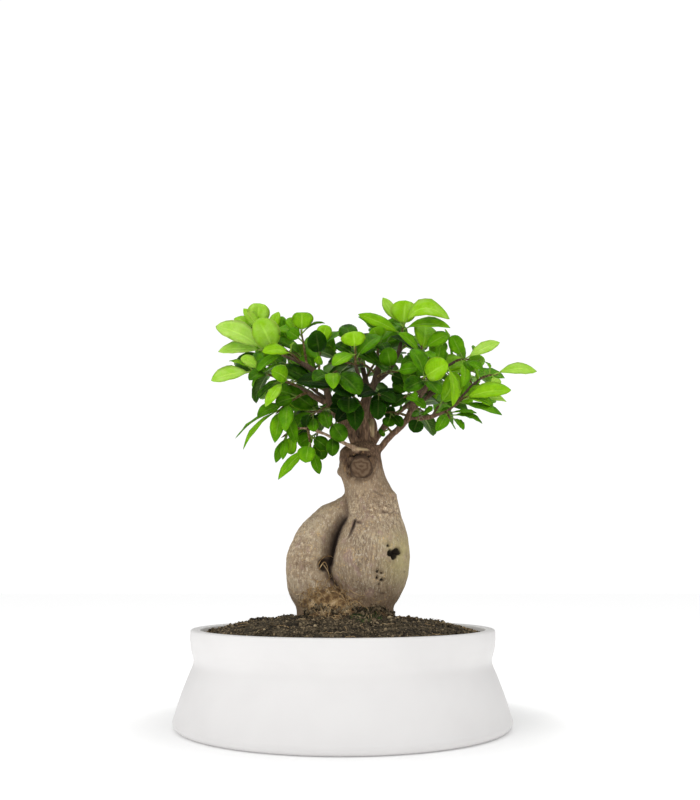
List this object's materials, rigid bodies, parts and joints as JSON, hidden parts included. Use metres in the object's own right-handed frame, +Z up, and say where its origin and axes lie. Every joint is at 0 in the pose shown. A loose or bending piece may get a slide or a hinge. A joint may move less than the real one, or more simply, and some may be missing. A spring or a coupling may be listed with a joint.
{
  "type": "ficus ginseng bonsai in a round ceramic pot",
  "caption": "Ficus ginseng bonsai with two swollen root lobes, a pruned neck and a spreading glossy leafy crown, standing in peat in a low round white ceramic pot.",
  "frame": {"origin": "centre of the pot's flat foot, on the surface that the pot stands on", "axes": "+Z up along the pot's axis, +X to the right and -Y toward the viewer of the front"},
  "size_m": [0.3476, 0.307, 0.4117],
  "materials": {
    "pot_glaze": "satin",
    "peat": "matte",
    "bark": "matte",
    "leaf": "satin"
  },
  "bodies": {
    "root": {"pot": "pot_glaze", "soil": "peat", "trunk": "bark", "leafy_stem_01": "leaf", "leafy_stem_02": "leaf", "leafy_stem_03": "leaf", "leafy_stem_04": "leaf", "leafy_stem_05": "leaf", "leafy_stem_06": "leaf", "leafy_stem_07": "leaf", "leafy_stem_08": "leaf", "leafy_stem_09": "leaf", "leafy_stem_10": "leaf", "leafy_stem_11": "leaf", "leafy_stem_12": "leaf", "leafy_stem_13": "leaf", "leafy_stem_14": "leaf", "leafy_stem_15": "leaf", "leafy_stem_16": "leaf", "leafy_stem_17": "leaf", "leafy_stem_18": "leaf", "leafy_stem_19": "leaf", "leafy_stem_20": "leaf", "leafy_stem_21": "leaf", "leafy_stem_22": "leaf", "leafy_stem_23": "leaf", "leafy_stem_24": "leaf", "leafy_stem_25": "leaf", "leafy_stem_26": "leaf", "leafy_stem_27": "leaf", "leafy_stem_28": "leaf", "leafy_stem_29": "leaf", "leafy_stem_30": "leaf", "leafy_stem_31": "leaf", "leafy_stem_32": "leaf", "leafy_stem_33": "leaf", "leafy_stem_34": "leaf", "leafy_stem_35": "leaf", "leafy_stem_36": "leaf", "leafy_stem_37": "leaf", "leafy_stem_38": "leaf", "leafy_stem_39": "leaf", "leafy_stem_40": "leaf", "leafy_stem_41": "leaf", "leafy_stem_42": "leaf", "leafy_stem_43": "leaf", "leafy_stem_44": "leaf", "leafy_stem_45": "leaf", "leafy_stem_46": "leaf", "leafy_stem_47": "leaf", "leafy_stem_48": "leaf", "leafy_stem_49": "leaf", "leafy_stem_50": "leaf", "leafy_stem_51": "leaf", "leafy_stem_52": "leaf", "leafy_stem_53": "leaf"}
  },
  "joints": []
}
